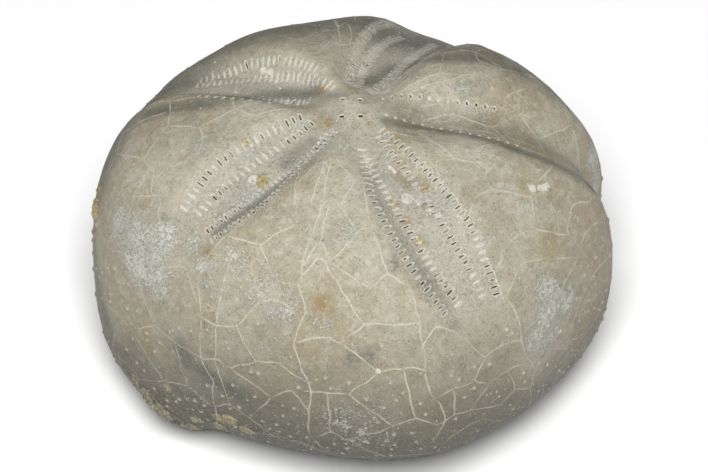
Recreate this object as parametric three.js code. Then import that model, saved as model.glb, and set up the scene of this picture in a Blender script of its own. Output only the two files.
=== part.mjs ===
// A fossil heart urchin: the shell of a burrowing sea urchin, packed with mud and turned to stone.
// It is one solid piece, domed above and flattened below, with five petals sunk around the top.
// Millimetres. +X is the animal's front, +Z is up, and the flat of the underside rests at z = 0.
import * as THREE from "three";
import { mergeVertices } from "three/addons/utils/BufferGeometryUtils.js";

// The dome and the belly meet at the widest level. Both are superellipses in any upright cut.
const HEIGHT = 49;
const WIDEST_LEVEL = 19.1;
const RESTING_FLAT = 0.4;
const MEAN_RADIUS = 38.5;
const OUTLINE_WAVES = [1.3, 0.9, -0.8, 0.9, 0.6];
const OUTLINE_LEAN = -0.6;
const DOME_FULLNESS = { mean: 2.57, frontToBack: -0.12, endsOverSides: 0.24 };
const BELLY_FULLNESS = { mean: 2.95, frontToBack: -0.25, endsOverSides: 0.8 };

// The five petals. Angles are in degrees about the top, and end is the tilt from upright, in
// radians, at which a petal closes. Depths are of the valley a petal lies in.
const PETALS = [
  { name: "front", angle: -0.5, bend: 0, end: 1.3, halfWidth: 4.2, widest: 1.2, blunt: 0.35,
    depth: 3.2, rimDepth: 3.6, bank: 4, floor: 0 },
  { name: "right front", angle: -69.5, bend: 7.5, end: 1.18, halfWidth: 5.9, widest: 2.4, blunt: 0.25,
    depth: 1.3, rimDepth: 0.4, bank: 1.2, floor: 0.35 },
  { name: "left front", angle: 68, bend: -6.5, end: 1.16, halfWidth: 5.9, widest: 2.4, blunt: 0.25,
    depth: 3.2, rimDepth: 0, bank: 2.4, floor: 0.35 },
  { name: "right back", angle: -141, bend: -4.5, end: 0.96, halfWidth: 5.2, widest: 1.73, blunt: 0.37,
    depth: 2.2, rimDepth: 0.3, bank: 1.2, floor: 0.35 },
  { name: "left back", angle: 134, bend: 17, end: 0.92, halfWidth: 5.2, widest: 1.73, blunt: 0.37,
    depth: 3, rimDepth: 0.6, bank: 1.4, floor: 0.35 },
];

// Swellings and dents left by growth and by the crushing of the mud: height in mm, place and
// spread as an angle about the top in degrees and a tilt from upright in radians.
const SWELLINGS = [
  { angle: 117, tilt: 0.85, angleSpread: 15, tiltSpread: 0.35, height: 1.2 },
  { angle: 32, tilt: 1.0, angleSpread: 12, tiltSpread: 0.35, height: 0.8 },
  { angle: -143, tilt: 1.97, angleSpread: 8, tiltSpread: 0.3, height: 1.8 },
  { angle: -160, tilt: 1.85, angleSpread: 12, tiltSpread: 0.35, height: 0.3 },
  { angle: -126, tilt: 2.05, angleSpread: 8, tiltSpread: 0.3, height: -0.3 },
];

// The two openings of the shell, both plugged with stone a little below the surface.
const VENT = { tilt: 1.3, halfWidth: 2.7, halfHeight: 3.6, depth: 1.2 };
const MOUTH = { forward: 18, bend: 0.06, halfLength: 3.6, halfWidth: 6, depth: 2.4 };

const CENTRE_BACK = 1;
const SPHERE_DETAIL = 18;
const STONE_COLOUR = 0xa39a86;
const STONE_ROUGHNESS = 0.72;

const DEGREE = Math.PI / 180;
const { clamp, smoothstep } = THREE.MathUtils;

function turn(angle) {
  return Math.atan2(Math.sin(angle), Math.cos(angle));
}

function outline(angle) {
  const waves = OUTLINE_WAVES.map((size, i) => size * Math.cos((i + 1) * angle));
  return waves.reduce((sum, wave) => sum + wave, MEAN_RADIUS + OUTLINE_LEAN * Math.sin(angle));
}

function fullness(shape, angle) {
  return shape.mean + shape.frontToBack * Math.cos(angle) + shape.endsOverSides * Math.cos(2 * angle);
}

// The plain domed body, as a distance from the centre at the widest level.
function bodyRadius(angle, tilt) {
  const above = tilt < Math.PI / 2;
  const power = fullness(above ? DOME_FULLNESS : BELLY_FULLNESS, angle);
  const reach = above ? HEIGHT - WIDEST_LEVEL : WIDEST_LEVEL + RESTING_FLAT;
  const across = Math.sin(tilt) / outline(angle);
  const upright = Math.abs(Math.cos(tilt)) / reach;
  return (across ** power + upright ** power) ** (-1 / power);
}

function petalHalfWidth(petal, tilt) {
  const along = clamp(tilt / petal.end, 0, 0.9);
  return petal.halfWidth * Math.sin(Math.PI * along ** petal.widest) ** petal.blunt;
}

// How deep a petal's valley cuts the body here: flat in the floor, easing up its banks.
function valleyDepth(petal, angle, tilt, radius) {
  const axis = (petal.angle + petal.bend * Math.min(tilt, 1.4)) * DEGREE;
  const off = turn(angle - axis);
  if (Math.abs(off) > Math.PI / 2) return 0;
  const aside = Math.abs(radius * Math.sin(tilt) * Math.sin(off));
  const opening = 1.5 * smoothstep(tilt, petal.end, petal.end + 0.6);
  const reach = petalHalfWidth(petal, tilt) + petal.bank + opening;
  const bank = 1 - smoothstep(aside / reach, petal.floor, 1.15);
  const start = smoothstep(tilt, 0.05, 0.05 + 0.33 * petal.end);
  const far = smoothstep(tilt / petal.end, 0.75, 1.15);
  const underside = smoothstep(tilt, 1.75, 2.25);
  const depth = petal.depth + (petal.rimDepth - petal.depth) * far;
  return depth * start * bank * (1 - underside);
}

function swelling(bump, angle, tilt) {
  const around = turn(angle - bump.angle * DEGREE) / (bump.angleSpread * DEGREE);
  const down = (tilt - bump.tilt) / bump.tiltSpread;
  return bump.height * Math.exp(-around * around - down * down);
}

function ventDepth(angle, tilt, radius) {
  const across = (radius * turn(angle - Math.PI)) / VENT.halfWidth;
  const up = (radius * (tilt - VENT.tilt)) / VENT.halfHeight;
  return VENT.depth * (1 - smoothstep(Math.hypot(across, up), 0.6, 1.3));
}

// The mouth is a bean-shaped hollow, bent round the lip at its back edge.
function mouthHeight(x, y) {
  const ahead = (x - MOUTH.forward + MOUTH.bend * y * y) / MOUTH.halfLength;
  const across = y / MOUTH.halfWidth;
  return MOUTH.depth * (1 - smoothstep(Math.hypot(ahead, across), 0.5, 1.25));
}

function surfacePoint(angle, tilt) {
  const body = bodyRadius(angle, tilt);
  const valleys = PETALS.reduce((sum, petal) => sum + valleyDepth(petal, angle, tilt, body), 0);
  const bumps = SWELLINGS.reduce((sum, bump) => sum + swelling(bump, angle, tilt), 0);
  const radius = body - valleys + bumps - ventDepth(angle, tilt, body);
  const across = radius * Math.sin(tilt);
  const x = across * Math.cos(angle) - CENTRE_BACK;
  const y = across * Math.sin(angle);
  const z = Math.max(WIDEST_LEVEL + radius * Math.cos(tilt), 0);
  const under = smoothstep(tilt, 1.9, 2.3);
  return new THREE.Vector3(x, y, z + under * mouthHeight(x, y));
}

// An even ball of triangles is pushed out to the urchin's surface, point by point.
function urchinGeometry() {
  const ball = new THREE.IcosahedronGeometry(1, SPHERE_DETAIL);
  ball.deleteAttribute("normal");
  ball.deleteAttribute("uv");
  const geometry = mergeVertices(ball, 1e-5);
  const position = geometry.getAttribute("position");
  const direction = new THREE.Vector3();
  for (let i = 0; i < position.count; i++) {
    direction.fromBufferAttribute(position, i).normalize();
    const angle = Math.atan2(direction.y, direction.x);
    const tilt = Math.acos(clamp(direction.z, -1, 1));
    const point = surfacePoint(angle, tilt);
    position.setXYZ(i, point.x, point.y, point.z);
  }
  geometry.computeBoundingBox();
  const middle = geometry.boundingBox.getCenter(new THREE.Vector3());
  geometry.translate(-middle.x, -middle.y, 0);
  geometry.computeVertexNormals();
  return geometry;
}

const stone = new THREE.MeshStandardMaterial({
  color: STONE_COLOUR,
  roughness: STONE_ROUGHNESS,
  metalness: 0,
});

const urchin = new THREE.Mesh(urchinGeometry(), stone);
urchin.name = "fossil_urchin";

const group = new THREE.Group();
group.add(urchin);

export default group;
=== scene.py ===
# A fossil heart urchin: the shell of a burrowing sea urchin, filled and turned to limestone.
# Everything is worked out in millimetres on the shell's own form and set down in metres.
import math

import bpy
import numpy as np
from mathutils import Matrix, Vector, kdtree, noise
from mathutils.geometry import delaunay_2d_cdt


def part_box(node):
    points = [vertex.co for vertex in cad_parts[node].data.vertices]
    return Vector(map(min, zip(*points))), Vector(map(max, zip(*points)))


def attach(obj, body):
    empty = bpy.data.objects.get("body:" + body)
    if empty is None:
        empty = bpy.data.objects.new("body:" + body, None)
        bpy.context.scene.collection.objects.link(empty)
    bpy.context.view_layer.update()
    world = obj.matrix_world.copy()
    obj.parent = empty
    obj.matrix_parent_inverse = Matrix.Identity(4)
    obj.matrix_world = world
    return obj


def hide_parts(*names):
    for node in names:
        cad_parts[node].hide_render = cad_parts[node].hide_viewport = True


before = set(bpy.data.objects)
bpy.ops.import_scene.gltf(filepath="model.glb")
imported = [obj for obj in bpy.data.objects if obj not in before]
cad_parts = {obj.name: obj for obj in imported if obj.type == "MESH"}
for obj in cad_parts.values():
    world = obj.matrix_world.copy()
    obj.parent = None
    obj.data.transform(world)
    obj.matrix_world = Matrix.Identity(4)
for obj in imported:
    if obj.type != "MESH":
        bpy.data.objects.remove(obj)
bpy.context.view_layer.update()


# ---------------------------------------------------------------------------------------------
# The shell's form. The whole animal's shell is one domed box of limestone, higher than a
# half ball, with five petal furrows pressed into its top. It grew as one piece, and it
# rests on the flattened middle of its underside. Sizes here are in millimetres.
MM = 0.001
HEIGHT = 49.0
WIDEST_LEVEL = 19.1
RESTING_FLAT = 0.4
MEAN_RADIUS = 38.5
OUTLINE_WAVES = (1.3, 0.9, -0.8, 0.9, 0.6)
OUTLINE_LEAN = -0.6
DOME_FULLNESS = (2.57, -0.12, 0.24)
BELLY_FULLNESS = (2.95, -0.25, 0.8)
CENTRE_BACK = 1.0

# Each furrow: angle and bend in degrees, where the petal ends in radians down from the top,
# its half width, where along it is widest and how blunt, its depths, bank and flat floor.
PETALS = {
    "front": (-0.5, 0.0, 1.30, 4.2, 1.2, 0.35, 3.2, 3.6, 4.0, 0.0),
    "right front": (-69.5, 7.5, 1.18, 5.9, 2.4, 0.25, 1.3, 0.4, 1.2, 0.35),
    "left front": (68.0, -6.5, 1.16, 5.9, 2.4, 0.25, 3.2, 0.0, 2.4, 0.35),
    "right back": (-141.0, -4.5, 0.96, 5.2, 1.73, 0.37, 2.2, 0.3, 1.2, 0.35),
    "left back": (134.0, 17.0, 0.92, 5.2, 1.73, 0.37, 3.0, 0.6, 1.4, 0.35),
}

# Each swelling: angle in degrees, tilt, spread in degrees, spread in tilt, and height.
SWELLINGS = (
    (117, 0.85, 15, 0.35, 1.2),
    (32, 1.0, 12, 0.35, 0.8),
    (-143, 1.97, 8, 0.3, 1.8),
    (-160, 1.85, 12, 0.35, 0.3),
    (-126, 2.05, 8, 0.3, -0.3),
)
VENT_TILT, VENT_HALF_WIDTH, VENT_HALF_HEIGHT, VENT_DEPTH = 1.3, 2.7, 3.6, 1.2
MOUTH_FORWARD, MOUTH_BEND = 18.0, 0.06
MOUTH_HALF_LENGTH, MOUTH_HALF_WIDTH, MOUTH_DEPTH = 3.6, 6.0, 2.4


def ease(value, low, high):
    share = np.clip((value - low) / (high - low), 0.0, 1.0)
    return share * share * (3.0 - 2.0 * share)


def wrapped(angle):
    return (angle + np.pi) % (2 * np.pi) - np.pi


def waves(angle, mean, *sizes):
    return mean + sum(size * np.cos((k + 1) * angle) for k, size in enumerate(sizes))


def body_radius(angle, tilt):
    """Distance of the furrowless body from its middle, as a squarish ball."""
    outline = waves(angle, MEAN_RADIUS, *OUTLINE_WAVES) + OUTLINE_LEAN * np.sin(angle)
    upper = tilt < np.pi / 2
    fullness = np.where(upper, waves(angle, *DOME_FULLNESS), waves(angle, *BELLY_FULLNESS))
    reach = np.where(upper, HEIGHT - WIDEST_LEVEL, WIDEST_LEVEL + RESTING_FLAT)
    flat = (np.sin(tilt) / outline) ** fullness
    tall = (np.abs(np.cos(tilt)) / reach) ** fullness
    return (flat + tall) ** (-1 / fullness)


def furrow(angle, tilt, radius, petal):
    """How far one petal's furrow sinks into the body, and how far inside the petal we are."""
    middle, bend, end, half_width, widest, blunt, depth, rim_depth, bank, floor = petal
    off = wrapped(angle - np.radians(middle + bend * np.minimum(tilt, 1.4)))
    aside = np.abs(radius * np.sin(tilt) * np.sin(off))
    along = tilt / end
    width = half_width * np.sin(np.pi * np.clip(along, 0, 0.9) ** widest) ** blunt
    reach = width + bank + 1.5 * ease(tilt, end, end + 0.6)
    near = np.abs(off) < np.pi / 2
    banked = near * (1 - ease(aside / reach, floor, 1.15))
    started = ease(tilt, 0.05, 0.05 + 0.33 * end)
    deep = depth + (rim_depth - depth) * ease(along, 0.75, 1.15)
    inside = near * (1 - ease(aside / (width + 0.3), 0.8, 1.1)) * (1 - ease(along, 0.9, 1.04))
    return deep * started * banked * (1 - ease(tilt, 1.75, 2.25)), inside


def form(way):
    """Points of the shell's plain form in millimetres, for unit directions from its middle."""
    angle = np.arctan2(way[:, 1], way[:, 0])
    tilt = np.arccos(np.clip(way[:, 2], -1, 1))
    body = body_radius(angle, tilt)
    radius = body - sum(furrow(angle, tilt, body, petal)[0] for petal in PETALS.values())
    for middle, level, spread, tilt_spread, height in SWELLINGS:
        off = wrapped(angle - math.radians(middle)) / math.radians(spread)
        radius = radius + height * np.exp(-(off**2) - ((tilt - level) / tilt_spread) ** 2)
    vent_off = np.hypot(
        body * wrapped(angle - np.pi) / VENT_HALF_WIDTH,
        body * (tilt - VENT_TILT) / VENT_HALF_HEIGHT,
    )
    radius = radius - VENT_DEPTH * (1 - ease(vent_off, 0.6, 1.3))
    x = radius * np.sin(tilt) * np.cos(angle) - CENTRE_BACK
    y = radius * np.sin(tilt) * np.sin(angle)
    z = np.maximum(WIDEST_LEVEL + radius * np.cos(tilt), 0.0)
    forward = (x - MOUTH_FORWARD + MOUTH_BEND * y**2) / MOUTH_HALF_LENGTH
    mouth_off = np.hypot(forward, y / MOUTH_HALF_WIDTH)
    z = z + ease(tilt, 1.9, 2.3) * MOUTH_DEPTH * (1 - ease(mouth_off, 0.5, 1.25))
    return np.stack([x, y, z], axis=1)


def direction(degrees, tilt):
    """Unit direction from the shell's middle: angle round from the front, tilt from the top."""
    angle, tilt = np.broadcast_arrays(np.radians(degrees), np.asarray(tilt, float))
    flat = np.sin(tilt)
    return np.stack([flat * np.cos(angle), flat * np.sin(angle), np.cos(tilt)], axis=-1)


def unit(vectors):
    return vectors / np.linalg.norm(vectors, axis=-1, keepdims=True)


every_way = direction(*np.meshgrid(np.arange(0, 360, 2.0), np.linspace(0, np.pi, 160)))
plain = form(every_way.reshape(-1, 3))
node_low, node_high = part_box("fossil_urchin")
CENTRING = (np.array(node_low) + np.array(node_high)) / (2 * MM)
CENTRING = CENTRING - (plain.min(axis=0) + plain.max(axis=0)) / 2
CENTRING[2] = 0.0


def skin(way):
    """The plain form, centred as the solid is."""
    return form(way) + CENTRING


def lie_of(way):
    """Where a point lies, two ways to step from it, what each step moves, and straight out."""
    step = 1e-4
    aside = np.where(np.abs(way[:, 2:]) < 0.9, [[0.0, 0.0, 1.0]], [[1.0, 0.0, 0.0]])
    first = unit(np.cross(aside, way))
    second = np.cross(way, first)
    here = skin(way)
    by_first = (skin(unit(way + step * first)) - here) / step
    by_second = (skin(unit(way + step * second)) - here) / step
    return here, first, second, by_first, by_second, unit(np.cross(by_first, by_second))


def walk(way, heading, along, across):
    """Directions reached by going so many millimetres along a heading and across it."""
    here, first, second, by_first, by_second, out = lie_of(way)
    ahead = unit(heading - out * np.sum(heading * out, axis=1, keepdims=True))
    goal = along[:, None] * ahead + across[:, None] * np.cross(out, ahead)
    aa = np.sum(by_first**2, axis=1)
    ab = np.sum(by_first * by_second, axis=1)
    bb = np.sum(by_second**2, axis=1)
    ga = np.sum(by_first * goal, axis=1)
    gb = np.sum(by_second * goal, axis=1)
    spread = aa * bb - ab**2
    u = (ga * bb - gb * ab) / spread
    v = (gb * aa - ga * ab) / spread
    return unit(way + u[:, None] * first + v[:, None] * second)


def route(points, spacing, bend=1.0):
    """Stations at an even spacing on a line through (degrees, tilt) points, smooth or straighter."""
    corners = direction(*np.array(points, float).T)
    corners = np.vstack([2 * corners[0] - corners[1], corners, 2 * corners[-1] - corners[-2]])
    share = np.linspace(0, 1, 12, endpoint=False)[:, None]
    line = []
    for a, b, c, d in zip(corners, corners[1:], corners[2:], corners[3:]):
        curve = (2 * a - 5 * b + 4 * c - d) * share**2 + (3 * b - a - 3 * c + d) * share**3
        curve = b + 0.5 * ((c - a) * share + curve)
        line.append(bend * curve + (1 - bend) * (b + (c - b) * share))
    line = unit(np.vstack(line + [corners[-2:-1]]))
    length = np.r_[0, np.cumsum(np.linalg.norm(np.diff(skin(line), axis=0), axis=1))]
    stations = np.linspace(0, length[-1], max(2, round(length[-1] / spacing) + 1))
    way = unit(np.stack([np.interp(stations, length, line[:, k]) for k in range(3)], axis=1))
    return way, unit(np.gradient(skin(way), axis=0))


# Every shape on the shell adds its own points, each with how far it stands out in millimetres,
# how dark, how white and how much of a knob's tip it is, all from 0 to 1.
shapes = []


def add_points(way, lift=0.0, dark=0.0, white=0.0, tip=0.0):
    facts = np.broadcast_arrays(np.zeros(len(way)), lift, dark, white, tip)[1:]
    shapes.append(np.column_stack([way, *facts]))


# ---------------------------------------------------------------------------------------------
# The petals' pores. Each petal has four rows of slits where the animal's tube feet came out,
# two rows on each side, and the front furrow has two rows of small ones. Some slits are
# open, their floors painted dark as the shade inside the holes, and the rest are filled with
# white calcite that also rims the open ones.
PORE_SPACING = 1.08
SLIT = (0.61, 0.09)
SMALL_SLIT = (0.34, 0.125)
CLOSE_SLIT = (0.46, 0.085)
STAR = (0.30, 0.12)
RIDGE = (0.90, 0.05)
LONG_SLIT = (0.80, 0.065)
SPREAD = {SMALL_SLIT: 1.3, STAR: 1.3, CLOSE_SLIT: 0.76, RIDGE: 0.58, LONG_SLIT: 0.85}
PORE_DEPTH = 0.34
FILLING_GROWTH = (1.12, 1.75)
RIDGE_PALENESS = 0.85

# Each row: the slit's size, its petal, how far across the petal it runs as shares of the
# half width at even steps from the top, its tilts, and the tilts where it is open.
PORE_ROWS = (
    (SLIT, "right back", (-1.1, -1.0, -1.0, -0.9), (0.24, 0.88), ((0.22, 0.33), (0.58, 0.79))),
    (SLIT, "right back", (-0.6, -0.5, -0.4, -0.4), (0.20, 0.86), ((0.20, 0.36), (0.72, 0.80))),
    (CLOSE_SLIT, "right back", (0.6, 0.6, 0.5, 0.4), (0.20, 0.89), ((0.16, 0.30), (0.72, 0.90))),
    (CLOSE_SLIT, "right back", (0.9, 0.8, 1.0, 0.9), (0.17, 0.91), ((0.17, 0.92),)),
    (SLIT, "right front", (-0.5, -1.0, -1.0, -0.9), (0.28, 1.09), ((0.36, 1.10),)),
    (SLIT, "right front", (-0.5, -0.5, -0.5, -0.4), (0.34, 1.08), ((0.66, 0.86), (0.93, 1.08))),
    (SLIT, "right front", (0.6, 0.5, 0.4, 0.4), (0.24, 1.09), ((0.24, 0.50), (0.66, 1.0))),
    (SLIT, "right front", (1.0, 1.0, 1.0, 0.8), (0.22, 1.11), ((0.22, 0.88), (0.98, 1.11))),
    (SMALL_SLIT, "front", (1.1, 1.1, 0.9, 0.8), (0.22, 0.73), ((0.30, 0.44), (0.57, 0.75))),
    (STAR, "front", (-0.4, -0.4, -0.8, -1.1), (0.20, 0.80), ()),
    (LONG_SLIT, "left back", (-1.2, -1.1, -0.9, -0.4), (0.36, 0.85), ()),
    (LONG_SLIT, "left back", (-1.1, -0.8, -0.4, 0.0), (0.22, 0.84), ((0.30, 0.34),)),
    (LONG_SLIT, "left back", (0.2, 0.6, 0.8, 0.8), (0.24, 0.82), ((0.22, 0.34),)),
    (SMALL_SLIT, "left back", (1.0, 1.2, 1.3, 1.3), (0.26, 0.70), ((0.26, 0.75),)),
    (RIDGE, "left front", (0.8, 1.0, 1.1, 1.2), (0.26, 1.02), ((0.30, 0.40),)),
    (RIDGE, "left front", (0.3, 0.6, 0.6, 0.6), (0.22, 0.96), ()),
    (RIDGE, "left front", (-0.6, -0.6, -0.5, -0.3), (0.22, 1.00), ((0.30, 0.50),)),
    (RIDGE, "left front", (-1.0, -1.1, -1.1, -0.8), (0.26, 1.04), ((0.34, 0.90),)),
)


def pore_line(name, shares, tilts):
    """A line down a petal at the given shares of its half width."""
    angle, bend, end, half_width, widest, blunt = PETALS[name][:6]
    tilt = np.linspace(*tilts, 10)
    share = np.interp(tilt, np.linspace(*tilts, len(shares)), shares)
    wide = half_width * np.sin(np.pi * np.minimum(tilt / end, 0.9) ** widest) ** blunt
    middle = np.radians(angle + bend * tilt)
    aside = np.arcsin(share * wide / (body_radius(middle, tilt) * np.sin(tilt)))
    return tuple(zip(np.degrees(middle + aside), tilt))


rng = np.random.default_rng(7)
pore_centres = []


def add_slit_rings(way, heading, half_length, half_width, rings, shades):
    """Rings of points round slits that lie across a heading, from the outside in."""
    for grow, steps, lift, dark, white in rings:
        turns = np.arange(steps) * 2 * np.pi / steps
        many = np.repeat(way, steps, axis=0)
        ahead = np.repeat(heading, steps, axis=0)
        wide = np.repeat(half_width, steps) + grow
        long = np.repeat(half_length, steps) + grow
        along = wide * np.tile(np.sin(turns), len(way))
        across = long * np.tile(np.cos(turns), len(way))
        pale, deep = (np.repeat(shade, steps) for shade in shades)
        add_points(walk(many, ahead, along, across), lift, dark * deep, white * pale)


def add_slits(way, heading, size, is_open):
    """Slits across a row, each a little turned, some of them open and the others filled."""
    heading = heading + rng.normal(0, 0.09, (len(way), 3))
    grown = rng.uniform(0.75, 1.12, len(way))
    thinned = rng.uniform(0.75, 1.25, len(way))
    pale = rng.uniform(0.62, 1.0, len(way)) * (RIDGE_PALENESS if size == RIDGE else 1.0)
    deep = rng.uniform(0.55, 1.0, len(way))
    pore_centres.append(skin(way))
    # Open slits get painted shade on their floors, dark as the inside of a hole.
    open_rings = (
        (0.30, 12, 0.0, 0.0, 0.0),
        (0.17, 12, 0.04, 0.0, 0.75),
        (0.06, 12, 0.01, 0.0, 0.85),
        (-0.02, 10, -0.8 * PORE_DEPTH, 1.0, 0.0),
    )
    filled_rings = (
        (0.20, 12, 0.0, 0.12, 0.0),
        (0.07, 12, -0.02, 0.16, 0.35),
        (-0.01, 10, 0.06, 0.0, 1.0),
    )
    for chosen, rings, floor, growth in (
        (is_open, open_rings, (-PORE_DEPTH, 1.0, 0.0), (1.0, 1.0)),
        (~is_open, filled_rings, (0.08, 0.0, 1.0), FILLING_GROWTH),
    ):
        long = size[0] * grown[chosen] * growth[0]
        wide = size[1] * thinned[chosen] * growth[1]
        shades = (pale[chosen], deep[chosen])
        add_slit_rings(way[chosen], heading[chosen], long, wide, rings, shades)
        for share in (-0.6, 0.0, 0.6):
            middle = walk(way[chosen], heading[chosen], 0 * long, share * long)
            lift, dark, white = floor
            add_points(middle, lift, dark * deep[chosen], white * pale[chosen])


for size, name, shares, tilts, open_stretches in PORE_ROWS:
    way, heading = route(pore_line(name, shares, tilts), PORE_SPACING * SPREAD.get(size, 1.0))
    tilt = np.arccos(way[:, 2])
    is_open = rng.random(len(way)) < 0.08
    for start, stop in open_stretches:
        is_open |= (tilt > start) & (tilt < stop) & (rng.random(len(way)) < 0.9)
    add_slits(way, heading, size, is_open)

# Round holes of the small plate on top, through which eggs were shed.
EGG_HOLES = ((106, 0.07), (-117, 0.07), (-45, 0.09), (41, 0.09))
way = direction(*np.array(EGG_HOLES).T)
heading = np.cross(way, [[1.0, 0.0, 0.0]])
add_slits(way, heading, (0.36, 0.32), np.ones(len(way), bool))


# ---------------------------------------------------------------------------------------------
# The seams. The shell is paved with some hundreds of limestone plates, and the seams between
# them are filled with pale calcite that has weathered a little proud of the stone.
SEAM_HALF_WIDTH = 0.155
SEAM_PROUD = 0.05
SEAM_STEP = 0.55
SEAM_BEND = 0.7
SEAM_SWAY = 0.30
SEAM_SWAY_SIZE = 1.9
FINE_STEP = 0.1
SPLIT_SHARE = 0.4
EDGE_STRENGTH = 0.8

# Columns of plates all over the shell, between the petals and below each of them: the two
# edges of each column as degrees at the top and at the bottom of the stretch, its tilts, the
# number of plates down each side of it, and how plainly its seams show.
PLATE_COLUMNS = (
    ((-126, -136), (-105, -108), (0.30, 0.94), 5, 0.9),
    ((-105, -108), (-84, -77), (0.36, 0.94), 5, 0.9),
    ((-136, -126), (-108, -100), (0.94, 1.72), 7, 0.9),
    ((-108, -100), (-77, -74), (0.94, 1.72), 7, 1.0),
    ((-166, -162), (-136, -126), (1.00, 1.74), 6, 0.8),
    ((-77, -74), (-52, -50), (1.20, 1.62), 5, 0.9),
    ((-46, -52), (-16, -14), (0.32, 1.14), 7, 0.9),
    ((-52, -48), (-14, -16), (1.14, 1.62), 5, 0.8),
    ((-10, -12), (12, 20), (0.42, 1.22), 6, 0.8),
    ((24, 24), (46, 54), (0.32, 0.80), 4, 0.7),
    ((86, 84), (110, 116), (0.34, 0.78), 4, 0.8),
    ((168, 160), (188, 200), (0.30, 1.06), 6, 0.9),
    ((24, 22), (54, 48), (0.80, 2.55), 9, 0.75),
    ((54, 48), (84, 90), (1.16, 2.55), 13, 0.75),
    ((84, 90), (116, 114), (0.78, 2.55), 9, 0.75),
    ((116, 114), (153, 148), (0.98, 2.55), 14, 0.75),
    ((153, 148), (192, 198), (1.10, 2.55), 8, 0.75),
    ((-14, -22), (24, 22), (1.24, 2.40), 11, 0.75),
    ((-162, -158), (-118, -112), (1.74, 2.50), 6, 0.75),
    ((-118, -112), (-72, -76), (1.72, 2.50), 6, 0.75),
    ((-72, -76), (-48, -50), (1.60, 2.50), 9, 0.75),
    ((-48, -50), (-14, -22), (1.60, 2.45), 6, 0.75),
)
# Edges that no column brings with it: degrees at the top and bottom, tilts and bends.
PLATE_EDGES = (
    ((-158, -162), (1.70, 2.5), 6),
    ((-77, -77), (0.94, 1.20), 3),
    ((13, 7), (0.40, 0.88), 4),
    ((188, 198), (0.90, 1.10), 2),
)


def plate_column(left, right, tilts, count):
    """The zigzag down a column's middle, a seam from each corner to an edge, and some splits."""
    levels = np.linspace(*tilts, count + 1)
    share = (levels - tilts[0]) / (tilts[1] - tilts[0])
    edges = [np.interp(share, (0, 1), pair) for pair in (left, right)]
    middle = (edges[0] + edges[1]) / 2 + rng.normal(0, 1.2, count + 1)
    swing = 0.13 * (edges[1] - edges[0]) * np.where(np.arange(count + 1) % 2, 1, -1)
    corners = np.column_stack([middle + swing, levels + rng.normal(0, 0.020, count + 1)])
    lines = [(tuple(a), tuple(b)) for a, b in zip(corners, corners[1:])]
    rise = 0.2 * (levels[1] - levels[0])
    halves = []
    for k, (degrees, tilt) in enumerate(corners):
        edge = edges[k % 2][k]
        half = ((degrees + edge) / 2, tilt - rise + rng.normal(0, 0.024))
        lines.append(((degrees, tilt), half, (edge, tilt + rise)))
        halves.append(half)
    splits = zip(halves, halves[2:])
    return lines + [split for split in splits if rng.random() < SPLIT_SHARE]


def plate_edge(side, tilts, count):
    """The long wavy seam between two columns."""
    levels = np.linspace(*tilts, count + 1)
    degrees = np.interp(levels, tilts, side) + rng.normal(0, 0.9, count + 1)
    return [tuple(zip(degrees, levels))]


seams = []
for left, right, tilts, count, strength in PLATE_COLUMNS:
    column = plate_column(left, right, tilts, count) + plate_edge(left, tilts, count)
    seams += [(line, strength) for line in column]
for side, tilts, count in PLATE_EDGES:
    seams += [(line, EDGE_STRENGTH) for line in plate_edge(side, tilts, count)]

# Rows of points beside each seam's middle, so that its two slopes and its feet are sharp.
SEAM_ROWS = (0.0, 0.11, -0.11, 0.24, -0.24)
seam_middles = []
seam_facts = []


def seam_route(line, step, aside=0.0):
    """Stations on a seam or beside it, swaying a little as the plates' edges do."""
    way, heading = route(line, step, SEAM_BEND)
    sway = [noise.noise(Vector(place) / SEAM_SWAY_SIZE) for place in skin(way).tolist()]
    return walk(way, heading, np.zeros(len(way)), aside + SEAM_SWAY * np.array(sway))


for line, strength in seams:
    middles = seam_route(line, FINE_STEP)
    from_end = np.minimum(np.arange(len(middles)), np.arange(len(middles))[::-1]) * FINE_STEP
    seam_middles.append(skin(middles))
    seam_facts.append(strength * (0.7 + 0.3 * ease(from_end, 0.0, 1.6)))
    for beside in SEAM_ROWS:
        add_points(seam_route(line, SEAM_STEP, beside))
seam_middles = np.vstack(seam_middles)
seam_facts = np.concatenate(seam_facts)


# ---------------------------------------------------------------------------------------------
# The knobs. Spines stood on small knobs all over the shell, thickest on the lower half and
# underside. They are part of the plates, and their worn tips show as pale dots.
KNOB_RINGS = ((1.25, 8, 0.0, 0.0), (0.85, 8, 0.35, 0.2), (0.45, 6, 0.85, 0.9))


def nearest(points, places):
    """The nearest of some points to each place, and how far off it is."""
    tree = kdtree.KDTree(len(points))
    for k, point in enumerate(points):
        tree.insert(point, k)
    tree.balance()
    found = [tree.find(place)[1:] for place in places]
    return np.array([k for k, _ in found]), np.array([far for _, far in found])


def even_rings(low, high, step, jitter):
    """Directions about a step apart, in staggered rings between two tilts."""
    tilts = np.linspace(0, np.pi, 721)
    rims = direction(np.arange(0, 360, 5.0)[None, :], tilts[:, None])
    places = skin(rims.reshape(-1, 3)).reshape(len(tilts), -1, 3)
    drop = np.linalg.norm(np.diff(places, axis=0), axis=2).mean(axis=1)
    depth = np.r_[0, np.cumsum(drop)]
    around = np.linalg.norm(places - np.roll(places, 1, axis=1), axis=2).sum(axis=1)
    levels = np.arange(np.interp(low, tilts, depth), np.interp(high, tilts, depth), step)
    rings = []
    for k, level in enumerate(levels[1:]):
        tilt = np.interp(level, depth, tilts)
        count = max(3, round(np.interp(level, depth, around) / step))
        degrees = (np.arange(count) + 0.5 * (k % 2)) * 360 / count
        wander = rng.uniform(-jitter, jitter, (2, count))
        degrees = degrees + wander[0] * 360 / count
        rings.append(direction(degrees, tilt + wander[1] * step / 38.0))
    return np.vstack(rings)


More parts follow.
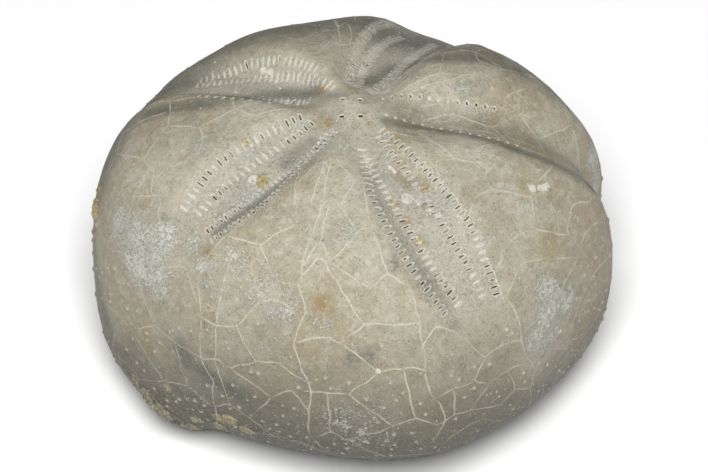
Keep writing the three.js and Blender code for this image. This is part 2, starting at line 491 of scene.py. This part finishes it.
def add_knobs(low, high, step, share, radius, height):
    """Knobs scattered between two tilts, kept clear of the pores and seams."""
    way = even_rings(low, high, step, 0.42)
    way = way[rng.random(len(way)) < share]
    size = radius * rng.uniform(0.7, 1.25, len(way))
    places = skin(way)
    clear = nearest(np.vstack(pore_centres), places)[1] > 1.0
    clear &= nearest(seam_middles, places)[1] > size * 1.25 + 0.22
    way, size = way[clear], size[clear]
    heading = np.cross(way, [[0.3, 0.2, 0.9]])
    for grow, steps, rise, tip in KNOB_RINGS:
        turns = np.tile(np.arange(steps) * 2 * np.pi / steps, len(way))
        reach = grow * np.repeat(size, steps)
        many = walk(
            np.repeat(way, steps, axis=0),
            np.repeat(heading, steps, axis=0),
            reach * np.cos(turns),
            reach * np.sin(turns),
        )
        add_points(many, rise * height * np.repeat(size, steps) / radius, tip=tip)
    add_points(way, height * size / radius, tip=1.0)
    pore_centres.append(skin(way))


add_knobs(1.25, 1.95, 2.3, 0.60, 0.38, 0.22)
add_knobs(1.95, 2.70, 2.2, 0.75, 0.45, 0.24)
add_knobs(0.50, 1.30, 2.7, 0.34, 0.24, 0.08)


# ---------------------------------------------------------------------------------------------
# Crusts and stains. Lumps of yellow and ochre sediment cling in the vent, the mouth, one
# petal and low on one side, and the stone is stained with chalk, rust and grey in patches.
# Each crust: degrees, tilt, radius and height in millimetres, and how ochre it is.
CRUSTS = (
    (-140, 0.585, 1.35, 0.5, 1.0), (-137.5, 0.60, 0.8, 0.4, 0.8), (-162, 0.52, 0.8, 0.4, 1.0),
    (-62, 0.545, 1.0, 0.35, 0.35), (-56, 0.60, 1.0, 0.25, 0.7), (-60, 0.67, 0.8, 0.25, 0.1),
    (-68.5, 0.80, 0.8, 0.3, 0.9), (-72, 0.61, 0.6, 0.25, 0.8), (179, 1.22, 2.0, 0.5, 0.9),
    (-177, 1.30, 2.2, 0.6, 0.8), (176, 1.36, 1.8, 0.5, 0.9), (-123, 1.70, 1.8, 0.5, 0.45),
    (-126, 1.72, 1.5, 0.4, 0.5), (-140, 1.66, 1.2, 0.5, 0.25), (-143, 1.84, 2.8, 0.55, 0.1),
    (-137, 1.92, 2.4, 0.5, 0.15), (-24, 0.97, 1.0, 0.12, 0.0), (-22.2, 0.96, 0.8, 0.12, 0.0),
    (70, 0.13, 0.8, 0.2, 0.7), (-48, 0.16, 0.9, 0.2, 0.5), (-147, 1.80, 2.4, 0.5, 0.2),
    (-133, 1.80, 1.6, 0.4, 0.3), (-127, 1.80, 1.7, 0.4, 0.35), (-152, 1.80, 2.4, 0.45, 0.1),
    (-119, 1.74, 1.6, 0.4, 0.45), (-134, 1.03, 0.6, 0.2, 0.6), (52, 0.24, 0.8, 0.25, 0.6),
)
for degrees, tilt, radius, _, _ in CRUSTS:
    middle = direction([degrees], [tilt])
    heading = np.cross(middle, [[0.0, 0.0, 1.0]])
    steps = np.arange(-radius * 1.3, radius * 1.3, 0.24)
    along, across = (grid.ravel() for grid in np.meshgrid(steps, steps))
    inside = np.hypot(along, across) < radius * 1.3
    wander = rng.uniform(-0.05, 0.05, (2, inside.sum()))
    many = np.repeat(middle, inside.sum(), axis=0)
    ahead = np.repeat(heading, inside.sum(), axis=0)
    add_points(walk(many, ahead, along[inside] + wander[0], across[inside] + wander[1]))

# Each stain or patch: degrees, tilt, radius in millimetres and strength. Chalk lies in flecks,
# white is where it fills a patch, and the pale patches are painted light, lighter stone where
# more light should fall.
STAINS_AND_PAINTED_LIGHT = {
    "chalk": (
        (-157, 1.10, 6.0, 0.9), (-153, 1.18, 4.5, 1.0), (-148, 1.14, 4.0, 0.9), (-146, 1.20, 3.5, 0.8),
        (-164, 1.13, 4.5, 0.9), (-150, 1.02, 4.0, 1.0), (-143, 0.98, 3.0, 0.6), (-136, 1.00, 2.2, 0.9),
        (-128, 0.93, 4.0, 0.55), (-118, 0.99, 4.5, 0.6), (-131, 1.05, 3.5, 0.5), (-112, 1.05, 4.5, 0.5),
        (-41, 1.22, 3.6, 0.9), (-38, 1.28, 3.6, 0.9), (-35, 1.34, 3.4, 0.9), (-43, 1.32, 3.8, 0.95),
        (-47, 1.38, 3.4, 0.9), (-42, 1.41, 3.4, 0.8), (-94, 0.71, 3.0, 0.7), (-167, 0.70, 2.4, 0.6),
        (-112, 0.10, 3.0, 0.4), (-104, 0.26, 3.0, 0.4), (-61, 0.60, 3.4, 0.7), (-57, 0.68, 3.0, 0.7),
        (-140, 0.66, 4.0, 0.6), (-28, 1.45, 5.0, 0.5), (60, 0.80, 3.0, 0.5), (-138, 0.42, 3.0, 0.4),
        (-100, 1.06, 3.0, 0.4), (-92, 1.50, 8.0, 0.35), (17, 0.60, 1.8, 0.8),
        (7, 1.26, 4.0, 0.9), (5, 1.36, 4.0, 0.8), (42, 0.80, 4.0, 0.4), (95, 0.62, 5.0, 0.35),
    ),
    # Painted light: pale patches where more light should fall.
    "pale": (
        (0, 0.05, 6.0, 0.9), (-100, 0.25, 5.0, 0.5), (-105, 0.50, 8.0, 0.45), (-60, 0.55, 6.0, 0.8),
        (-62, 0.85, 7.0, 0.8), (10, 0.50, 6.0, 0.7), (25, 0.70, 5.0, 0.5), (-25, 0.62, 6.0, 0.6),
        (130, 0.45, 6.0, 0.6), (140, 0.72, 4.0, 0.4), (-145, 0.62, 7.0, 0.5), (-178, 0.42, 6.0, 0.5),
        (-30, 0.85, 6.0, 0.4), (-165, 0.80, 6.0, 0.4), (-40, 1.05, 5.0, 0.3), (50, 0.28, 4.0, 0.5),
        (-90, 0.80, 7.0, 0.4), (-110, 0.85, 6.0, 0.3), (178, 1.03, 5.0, 0.5), (-170, 0.98, 6.0, 0.5),
        (-46, 1.46, 7.0, 0.8), (-39, 1.54, 5.0, 0.6),
    ),
    "white": (
        (-25.5, 0.895, 1.0, 1.0), (-23.5, 0.925, 1.0, 1.0), (-22.0, 0.945, 0.9, 1.0),
        (-65, 0.60, 1.35, 1.0), (-59, 0.68, 1.2, 0.8), (-57.5, 0.73, 1.0, 0.8), (-61, 0.64, 0.9, 0.9),
        (-63, 0.42, 0.55, 1.0), (-62.5, 0.45, 0.55, 1.0), (132, 0.60, 0.9, 0.9), (131, 0.565, 0.8, 0.9),
        (134, 0.51, 0.5, 0.9), (138, 0.46, 0.5, 0.9), (150, 0.64, 0.6, 0.8), (-143.8, 0.605, 1.2, 1.0),
        (-87, 1.26, 0.9, 0.6), (-55, 1.26, 0.7, 0.7), (-157, 1.06, 1.0, 0.4),
    ),
    "rust": (
        (-100.5, 1.005, 1.9, 0.95), (-99, 1.03, 1.2, 0.8), (-111, 0.92, 3.5, 0.25), (-96, 0.90, 4.0, 0.28),
        (-90, 0.97, 3.0, 0.25), (-130, 0.86, 3.5, 0.25), (-34, 1.07, 3.5, 0.4), (-30, 1.60, 2.5, 0.45),
        (-137, 0.96, 1.6, 0.45), (-68.5, 0.80, 1.4, 0.7), (-56, 0.56, 2.6, 0.55), (-59, 0.48, 2.4, 0.5),
        (-72, 0.61, 1.2, 0.6), (-70, 0.70, 1.3, 0.6), (-105, 1.20, 3.0, 0.25), (-148, 1.50, 4.0, 0.25),
        (178, 1.28, 4.5, 0.55), (-142, 0.14, 1.6, 0.7), (-159, 0.13, 1.3, 0.5), (75, 0.21, 1.5, 0.7),
        (33, 0.09, 1.1, 0.6), (-37, 0.09, 1.0, 0.6), (-75, 0.13, 1.2, 0.4), (120, 0.25, 1.4, 0.6),
        (-143, 0.89, 1.6, 0.3), (-164, 0.99, 3.0, 0.25), (-64, 1.79, 1.6, 0.5), (-119, 0.50, 3.0, 0.3),
        (-45, 0.31, 2.4, 0.45), (-52, 0.42, 2.2, 0.4), (-27, 0.86, 3.0, 0.3), (-8, 0.90, 3.0, 0.3),
    ),
    "grey": (
        (-135, 1.45, 3.5, 0.9), (-129, 1.47, 3.0, 0.9), (-122, 1.50, 3.0, 0.8), (-88.5, 1.20, 2.4, 0.6),
        (-93, 1.235, 2.2, 0.5), (-104, 1.30, 2.0, 0.45), (-80, 1.18, 2.2, 0.4), (-79, 0.86, 1.6, 0.8),
        (-82, 0.72, 1.4, 0.5), (-140, 0.80, 2.5, 0.5), (-132, 0.70, 2.2, 0.45), (-71, 0.95, 2.4, 0.6),
        (-154, 0.95, 1.1, 0.9), (-54, 1.06, 1.6, 0.7), (-68, 1.14, 1.4, 0.7), (-126, 0.28, 2.4, 0.4),
        (-150, 1.62, 5.0, 0.5), (150, 1.10, 6.0, 0.35), (-168, 1.45, 5.0, 0.4), (-66, 0.50, 1.8, 0.4),
        (16, 0.66, 2.0, 0.5), (-80, 0.60, 1.3, 0.5), (-76, 0.45, 2.0, 0.45), (-72, 0.98, 1.8, 0.6),
    ),
}

# Each line of painted shade, down the walls of the furrows and round the back where those faces
# turn from the light, with a few real dark streaks and stains among them: its half width in
# millimetres, its strength and its (degrees, tilt) points.
SHADE_AND_GRIME_LINES = (
    (1.5, 0.95, ((-25, 0.21), (-16, 0.34), (-13, 0.47), (-12, 0.60), (-13.5, 0.71), (-14, 0.81),
                 (-12.5, 0.92), (-11.5, 1.02), (-10, 1.14))),
    (3.4, 0.40, ((4, 0.28), (3, 0.42), (1, 0.52), (0, 0.67), (-2, 0.80), (-3, 0.95))),
    (2.2, 0.95, ((166, 0.92), (167, 0.83), (168, 0.74), (168, 0.66), (166, 0.56), (152, 0.50),
                 (140, 0.38), (125, 0.28))),
    (2.4, 1.0, ((69, 0.31), (61, 0.42), (56, 0.54), (50, 0.62), (45, 0.61), (39, 0.61), (35, 0.68),
                (32, 0.76), (28, 0.83), (25, 0.92))),
    (4.0, 0.8, ((49, 0.76), (42, 0.74), (38, 0.80), (34, 0.88))),
    (1.4, 0.6, ((-138, 0.27), (-140, 0.35), (-138, 0.45))),
    (8.0, 1.0, ((28, 1.12), (40, 1.02), (58, 0.97), (70, 0.90), (82, 0.82), (96, 0.79), (112, 0.80),
                (125, 0.85), (138, 0.93), (150, 1.02), (162, 1.12), (172, 1.20))),
    (1.3, 0.6, ((-139, 0.87), (-137, 0.79), (-132.5, 0.66), (-128, 0.50), (-125, 0.36))),
    (2.0, 0.4, ((-80, 0.42), (-78.5, 0.62), (-74, 0.80), (-71, 0.95), (-68.5, 1.06))),
    (2.2, 0.75, ((-136, 1.40), (-130, 1.455), (-125, 1.49), (-119, 1.53))),
    (1.2, 0.6, ((-88, 1.185), (-93, 1.205))),
    (2.4, 0.6, ((176, 1.06), (180, 1.17), (-177, 1.32), (-174, 1.42), (-169, 1.54), (-164, 1.62))),
)


# ---------------------------------------------------------------------------------------------
# The shell's mesh: plain points fill what the shapes left, and one closed net joins them all.
# It is triangulated in two halves, above and below a level under the widest part, on maps
# that keep angles true, so the triangles are even wherever the points are.
FILL_STEP = 0.83
PETAL_STEP = 0.50
PARTING_TILT = 1.95
LEAST_GAP = 0.10

shaped = np.vstack(shapes)
fill = even_rings(0.0, np.pi, FILL_STEP, 0.2)
petal_fill = even_rings(0.0, 1.2, PETAL_STEP, 0.2)


def petal_share(way):
    angle = np.arctan2(way[:, 1], way[:, 0])
    tilt = np.arccos(np.clip(way[:, 2], -1, 1))
    body = body_radius(angle, tilt)
    inside = [furrow(angle, tilt, body, petal)[1] for name, petal in PETALS.items() if name != "front"]
    return np.max(inside, axis=0) * ease(tilt, 0.12, 0.25)


petal_fill = petal_fill[petal_share(petal_fill) > 0.05]
poles = direction([0.0, 0.0], [0.0, np.pi])
fill = np.vstack([poles, petal_fill, fill])
in_petal = (petal_share(fill) > 0.05) & (np.arange(len(fill)) >= 2 + len(petal_fill))
fill = fill[~in_petal]
fill = fill[nearest(skin(shaped[:, :3]), skin(fill))[1] > 0.30]
count = round(2 * np.pi * 38.0 / 0.25)
parting = direction(np.arange(count) * 360 / count, PARTING_TILT)
stations = np.vstack([parting, shaped[:, :3], fill])
facts = np.zeros((len(stations), 4))
facts[len(parting) : len(parting) + len(shaped)] = shaped[:, 3:]

# Points that fall almost on another one, or almost on the parting ring, are left out.
from_parting = np.abs(np.arccos(np.clip(stations[:, 2], -1, 1)) - PARTING_TILT) * 38.0
keep = (from_parting > 0.12) | (np.arange(len(stations)) < len(parting))
for offset in (0.0, 0.5):
    cell = np.round(skin(stations) / LEAST_GAP + offset).astype(int)
    cell[~keep] = -np.arange(1, (~keep).sum() + 1)[:, None] - 10**6
    _, first_of = np.unique(cell, axis=0, return_index=True)
    first = np.zeros(len(stations), bool)
    first[first_of] = True
    keep &= first | (np.arange(len(stations)) < len(parting))
stations, facts = stations[keep], facts[keep]


def half_net(chosen, up):
    """Triangles over the chosen points, on a map seen from straight out of one pole."""
    picked = np.flatnonzero(chosen)
    flat = 100 * stations[picked, :2] / (1 + up * stations[picked, 2:3])
    net = delaunay_2d_cdt([Vector(p) for p in flat.tolist()], [], [], 0, 1e-9, False)
    assert len(net[0]) == len(picked)
    faces = picked[np.array(net[2])]
    return faces if up > 0 else faces[:, ::-1]


on_parting = np.arange(len(stations)) < len(parting)
upper = stations[:, 2] > math.cos(PARTING_TILT)
faces = np.vstack([half_net(upper | on_parting, 1), half_net(~upper | on_parting, -1)])


def marks_near(places, marks):
    """The strongest of some round marks at each place, soft at the rim."""
    found = np.zeros(len(places))
    for degrees, tilt, radius, strength in marks:
        far = np.linalg.norm(places - skin(direction([degrees], [tilt])), axis=1)
        found = np.maximum(found, strength * (1 - ease(far / radius, 0.25, 1.15)))
    return found


# Painted shade along the furrow walls and the back, with a few real dark streaks.
def shade_and_grime_near(places):
    found = np.zeros(len(places))
    for half_width, strength, line in SHADE_AND_GRIME_LINES:
        far = nearest(skin(route(line, 0.5)[0]), places)[1]
        found = np.maximum(found, strength * (1 - ease(far / half_width, 0.1, 1.25)))
    return found


def bumps(places, size, layers=2):
    """Smooth lumps of about one size, from -1 to 1."""
    return np.array([noise.fractal(Vector(p) / size, 1.0, 2.0, layers) for p in places.tolist()])


here, _, _, _, _, out = lie_of(stations)
middle_of, off_seam = nearest(seam_middles, here)
strength = seam_facts[middle_of] * np.clip(0.95 + 0.8 * bumps(here, 2.6), 0.5, 1.0)
ridge = 1 - ease(off_seam / SEAM_HALF_WIDTH, 0.2, 1.3)
ridge = ridge * ease(facts[:, 0] + 1e-3, -0.02, -0.01) * (facts[:, 3] == 0) * (facts[:, 1] == 0)
seam = ridge * strength
lift = facts[:, 0] + SEAM_PROUD * ridge * strength
lift += 0.10 * bumps(here, 8.0) + 0.022 * bumps(here, 1.7)

crust = np.zeros(len(stations))
ochre = np.zeros(len(stations))
for degrees, tilt, radius, height, yellow in CRUSTS:
    far = np.linalg.norm(here - skin(direction([degrees], [tilt])), axis=1)
    close = np.flatnonzero(far < radius * 1.3)
    ragged = far[close] / radius + 0.35 * bumps(here[close], 0.7)
    body = 1 - ease(ragged, 0.45, 0.95)
    lumps = 0.6 + 0.5 * bumps(here[close] + 5.0, 0.45, 3)
    lift[close] += height * body * lumps
    crust[close] = np.maximum(crust[close], body)
    ochre[close] = np.maximum(ochre[close], body * yellow)

places = here + out * lift[:, None]
places[:, 2] = np.maximum(places[:, 2], 0.0)

shell_mesh = bpy.data.meshes.new("shell")
shell_mesh.from_pydata((places * MM).tolist(), [], faces.tolist())
shell_mesh.polygons.foreach_set("use_smooth", np.ones(len(faces), bool))
marks = {
    "seam": seam,
    "dark": facts[:, 1],
    "filling": facts[:, 2],
    "tip": facts[:, 3],
    "petal": petal_share(stations),
    "crust": crust,
    "ochre": ochre,
    "shade": shade_and_grime_near(here),
    **{name: marks_near(here, spots) for name, spots in STAINS_AND_PAINTED_LIGHT.items()},
}
for name, values in marks.items():
    layer = shell_mesh.attributes.new(name, "FLOAT", "POINT")
    layer.data.foreach_set("value", values.astype(np.float32))
shell_mesh.validate()
shell_mesh.update()
shell = bpy.data.objects.new("shell", shell_mesh)
bpy.context.collection.objects.link(shell)


# ---------------------------------------------------------------------------------------------
# The stone. Dull beige-grey limestone, mottled by the minerals that replaced the shell, with
# cream calcite in the seams and white calcite in the pores. Painted shade darkens the floors of
# the open pores, the furrow walls and the back, pale patches are painted light, and the colour
# grows darker towards the bottom, partly painted shade and partly darker stone.
class Wire:
    """A socket of a material. Sums written on wires become Math nodes."""

    def __init__(self, tree, socket=None):
        self.tree = tree
        self.socket = socket

    def node(self, kind, settings=None, inputs=None, output=0):
        made = self.tree.nodes.new("ShaderNode" + kind)
        for name, value in (settings or {}).items():
            setattr(made, name, value)
        for name, value in (inputs or {}).items():
            if isinstance(value, Wire):
                self.tree.links.new(value.socket, made.inputs[name])
            else:
                made.inputs[name].default_value = value
        return Wire(self.tree, made.outputs[output])

    def sum(self, operation, first, second, clamp=False):
        settings = {"operation": operation, "use_clamp": clamp}
        return self.node("Math", settings, {0: first, 1: second})

    def __add__(self, other):
        return self.sum("ADD", self, other)

    def __sub__(self, other):
        return self.sum("SUBTRACT", self, other)

    def __rsub__(self, other):
        return self.sum("SUBTRACT", other, self)

    def __mul__(self, other):
        return self.sum("MULTIPLY", self, other)

    __radd__ = __add__
    __rmul__ = __mul__

    def between(self, low, high):
        """0 below the low value, 1 above the high one, and smooth between them."""
        settings = {"interpolation_type": "SMOOTHSTEP"}
        return self.node("MapRange", settings, {"Value": self, "From Min": low, "From Max": high})

    def blend(self, under, over):
        """The first colour where this wire is 0 and the second where it is 1."""
        settings = {"data_type": "RGBA"}
        inputs = {"Factor": self, 6: under, 7: over}
        return self.node("Mix", settings, inputs, 2)


def paint(red, green, blue):
    """A colour on a paint card, given as 0 to 255, as light."""
    shares = [value / 255 for value in (red, green, blue)]
    light = [s / 12.92 if s <= 0.04045 else ((s + 0.055) / 1.055) ** 2.4 for s in shares]
    return (*light, 1.0)


stone = bpy.data.materials.new("limestone")
stone.use_nodes = True
stone.node_tree.nodes.clear()
wire = Wire(stone.node_tree)
spot = wire.node("TexCoord", output=3)


def cloud(size_mm, detail=2.0, rough=0.5, seed=0.0):
    """Smooth noise from 0 to 1 with blotches of about one size."""
    moved = wire.node("VectorMath", {"operation": "ADD"}, {0: spot, 1: (seed, seed * 0.7, -seed)})
    inputs = {"Vector": moved, "Scale": 1 / (size_mm * MM), "Detail": detail, "Roughness": rough}
    return wire.node("TexNoise", {}, inputs)


def mark(name):
    return wire.node("Attribute", {"attribute_name": name}, {}, 2)


BEIGE = paint(190, 179, 152)
PALE_BEIGE = paint(199, 193, 170)
LIGHT_BEIGE = paint(210, 206, 188)
PAINTED_LIGHT_BEIGE = paint(222, 218, 201)
PETAL_GREY = paint(194, 190, 174)
GREY_BEIGE = paint(160, 157, 137)
OLIVE = paint(118, 114, 95)
DEEP_OLIVE = paint(78, 77, 68)
WARM = paint(184, 164, 130)
BLUE_GREY = paint(130, 130, 119)
CREAM = paint(228, 221, 201)
CHALK = paint(226, 225, 214)
WHITE = paint(242, 238, 224)
DARK = paint(42, 38, 30)
FRONT_OLIVE = paint(108, 105, 90)
RUST = paint(172, 146, 96)
OCHRE = paint(214, 192, 130)
DUN = paint(180, 172, 143)
GRIME_AND_SHADE = paint(92, 94, 84)
GREY = paint(104, 106, 104)
PIT_GREY = paint(112, 108, 94)

level = wire.node("SeparateXYZ", {}, {0: spot}, 2)
leftward = wire.node("SeparateXYZ", {}, {0: spot}, 1)
frontward = wire.node("SeparateXYZ", {}, {0: spot}, 0)
low_down = level.between(0.026, 0.008)
deep_down = level.between(0.024, 0.006) * (0.45 + 0.55 * leftward.between(-0.012, -0.034))
broad = cloud(14, 3, 0.55)
middling = cloud(3.2, 7, 0.72, 0.1)
fine = cloud(0.8, 5, 0.7, 0.2)
grain = cloud(0.26, 3, 0.7, 0.3)
mottle = cloud(1.4, 6, 0.75, 1.1)
colour = broad.between(0.38, 0.62).blend(BEIGE, PALE_BEIGE)
colour = (middling.between(0.46, 0.64) * 0.5).blend(colour, GREY_BEIGE)
colour = (cloud(6, 3, 0.6, 0.4).between(0.52, 0.72) * 0.5).blend(colour, WARM)
colour = (mottle.between(0.50, 0.60) * 0.6).blend(colour, LIGHT_BEIGE)
# Painted light: the pale patches lighten the stone where more light should fall.
colour = (mark("pale") * (0.35 + 0.65 * mottle.between(0.40, 0.56))).blend(colour, PAINTED_LIGHT_BEIGE)
# Darker towards the bottom, partly painted shade for the lower faces that turn from the light and partly
# darker olive stone: strongest on the -y side, where the camera stands, and weaker at the front end.
lighter_side = 1 - frontward.between(0.010, 0.030) * 0.5
colour = (low_down * lighter_side * 0.9).blend(colour, OLIVE)
low_front = level.between(0.040, 0.019) * leftward.between(-0.012, -0.034) * lighter_side
colour = (low_front * (0.8 + 0.6 * (middling - 0.5))).blend(colour, FRONT_OLIVE)
colour = (deep_down * (0.75 + 0.5 * (middling - 0.5))).blend(colour, DEEP_OLIVE)
speckle = fine.between(0.50, 0.60) * (1 - mottle.between(0.44, 0.54))
colour = (speckle * (0.26 + 0.4 * low_down)).blend(colour, BLUE_GREY)
colour = (mark("petal") * 0.6).blend(colour, PETAL_GREY)
petal_fleck = mark("petal") * cloud(0.6, 3, 0.7, 0.9).between(0.52, 0.60)
colour = (petal_fleck * 0.30).blend(colour, BLUE_GREY)
petal_chalk = mark("petal") * cloud(0.4, 4, 0.75, 1.3).between(0.52, 0.60)
colour = (petal_chalk * 0.5).blend(colour, CHALK)
colour = (mark("grey") * (0.1 + fine.between(0.42, 0.58) * 0.65)).blend(colour, GREY)
# Painted shade on the furrow walls and round the back, with a few real dark streaks among it.
colour = (mark("shade") * (0.55 + 0.6 * (middling - 0.3))).blend(colour, GRIME_AND_SHADE)
streak = cloud(4.5, 6, 0.75, 4.1).between(0.47, 0.62)
# Dark streaks low down, part of the same painted shade and darker stone towards the bottom.
colour = (streak * low_down * 0.5).blend(colour, DEEP_OLIVE)
rust_cloud = mark("rust") * (0.35 + cloud(1.3, 3, 0.6, 0.5).between(0.35, 0.6))
colour = rust_cloud.blend(colour, RUST)
fleck = cloud(0.42, 5, 0.8, 0.6)
thick = cloud(2.6, 4, 0.7, 2.3) - 0.5
crossing = cloud(1.5, 5, 0.65, 5.3) - 0.5
web = (crossing * crossing).between(0.0016, 0.0003) * mark("chalk").between(0.35, 0.9)
chalk_net = (fleck + mark("chalk") * 0.17 + 0.42 * thick).between(0.59, 0.66)
chalk_net = chalk_net * mark("chalk").between(0.0, 0.25)
colour = (chalk_net * 0.95).blend(colour, CHALK)
colour = (web * 0.75).blend(colour, CHALK)
patch = (mark("white") + 0.5 * (fleck - 0.5)).between(0.35, 0.55)
colour = patch.blend(colour, WHITE)
grit = cloud(0.5, 1, 0.5, 0.7).between(0.66, 0.74)
colour = (grit * 0.5).blend(colour, CHALK)
specks = wire.node("TexVoronoi", {}, {"Vector": spot, "Scale": 1 / (1.2 * MM)})
specks = specks.between(0.24, 0.13) * low_down * mottle.between(0.40, 0.52)
specks = specks * leftward.between(0.0, -0.02)
colour = (specks * 0.5).blend(colour, CREAM)
pits = cloud(0.45, 2, 0.6, 1.7).between(0.64, 0.71)
colour = (pits * 0.35).blend(colour, PIT_GREY)
# The seams grow darker towards the bottom too, the same mix of painted shade and darker stone.
calcite = (low_down * 0.65 + low_front * 0.35).blend(CREAM, GREY_BEIGE)
seam_strength = mark("seam") * (0.55 + 0.5 * cloud(2.5, 2, 0.5, 0.8))
colour = seam_strength.between(0.08, 0.75).blend(colour, calcite)
colour = (mark("tip") * 0.65).blend(colour, CREAM)
crumbs = cloud(0.42, 4, 0.8, 1.9).between(0.42, 0.56)
colour = (mark("crust").between(0.3, 0.7) * (0.3 + 0.7 * crumbs)).blend(colour, DUN)
colour = (mark("ochre") * (0.4 + 0.8 * crumbs)).between(0.15, 0.9).blend(colour, OCHRE)
colour = (mark("crust") * cloud(0.4, 2, 0.6, 1.9).between(0.56, 0.64) * 0.6).blend(colour, GRIME_AND_SHADE)
colour = mark("filling").blend(colour, WHITE)
# Painted shade: the floors of the open slits are painted dark as the inside of a hole.
colour = mark("dark").between(0.2, 0.8).blend(colour, DARK)
dust = cloud(0.19, 3, 0.7, 3.1)
colour = (dust.between(0.55, 0.66) * 0.4).blend(colour, LIGHT_BEIGE)
shade = 0.245 + 0.52 * grain + 0.18 * fine
tone = wire.node("CombineXYZ", {}, {0: shade, 1: shade, 2: shade})
colour = wire.node("VectorMath", {"operation": "MULTIPLY"}, {0: colour, 1: tone})

relief = grain * 0.45 + fine * 0.6 + chalk_net * 0.5
relief = relief + patch * 0.6 + grit * 0.6 + specks * 0.8 - pits * 0.6
surface = wire.node("Bump", {}, {"Height": relief, "Strength": 0.8, "Distance": 0.00014})
finish = {
    "Base Color": colour,
    "Roughness": 0.56 + 0.2 * fine,
    "Normal": surface,
    "Specular IOR Level": 0.4,
}
shader = wire.node("BsdfPrincipled", {}, finish)
output = stone.node_tree.nodes.new("ShaderNodeOutputMaterial")
stone.node_tree.links.new(shader.socket, output.inputs["Surface"])
shell_mesh.materials.append(stone)
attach(shell, "root")
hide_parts("fossil_urchin")


# ---------------------------------------------------------------------------------------------
# The table, lights and camera: a plain white sheet, a wide soft light overhead with a weaker
# one from the camera's side, and a long lens looking down at 45 degrees.
floor_mesh = bpy.data.meshes.new("floor")
half = 3.0
corners = ((-half, -half, 0), (half, -half, 0), (half, half, 0), (-half, half, 0))
floor_mesh.from_pydata(corners, [], [(0, 1, 2, 3)])
floor = bpy.data.objects.new("floor", floor_mesh)
bpy.context.collection.objects.link(floor)
sheet = bpy.data.materials.new("white_sheet")
sheet.use_nodes = True
sheet.node_tree.nodes["Principled BSDF"].inputs["Base Color"].default_value = (0.89, 0.89, 0.89, 1.0)
sheet.node_tree.nodes["Principled BSDF"].inputs["Roughness"].default_value = 0.9
floor_mesh.materials.append(sheet)


def soft_light(name, place, size, power):
    lamp = bpy.data.lights.new(name, "AREA")
    lamp.size = size
    lamp.energy = power
    holder = bpy.data.objects.new(name, lamp)
    holder.location = place
    holder.rotation_euler = (Vector((0, 0, 0.02)) - Vector(place)).to_track_quat("-Z", "Y").to_euler()
    bpy.context.collection.objects.link(holder)


soft_light("key_light", (-0.06, -0.60, 0.97), 0.5, 17.5)
soft_light("top_light", (0.15, 0.0, 1.3), 0.9, 1.8)
world = bpy.data.worlds.new("room")
world.use_nodes = True
world.node_tree.nodes["Background"].inputs["Color"].default_value = (1, 1, 1, 1)
world.node_tree.nodes["Background"].inputs["Strength"].default_value = 0.05
bpy.context.scene.world = world
bpy.context.scene.view_settings.view_transform = "Standard"

CAMERA_AROUND = math.radians(-4.0)
CAMERA_UP = math.radians(45.2)
CAMERA_DISTANCE = 0.6
TARGET = Vector((0.00055, 0.0006, 0.02165))
back = Vector((
    math.sin(CAMERA_AROUND) * math.cos(CAMERA_UP),
    -math.cos(CAMERA_AROUND) * math.cos(CAMERA_UP),
    math.sin(CAMERA_UP),
))
lens = bpy.data.cameras.new("camera")
lens.lens = 197.9
lens.sensor_width = 36.0
lens.clip_start = 0.01
camera = bpy.data.objects.new("camera", lens)
camera.location = TARGET + CAMERA_DISTANCE * back
camera.rotation_euler = back.to_track_quat("Z", "Y").to_euler()
bpy.context.collection.objects.link(camera)
bpy.context.scene.camera = camera
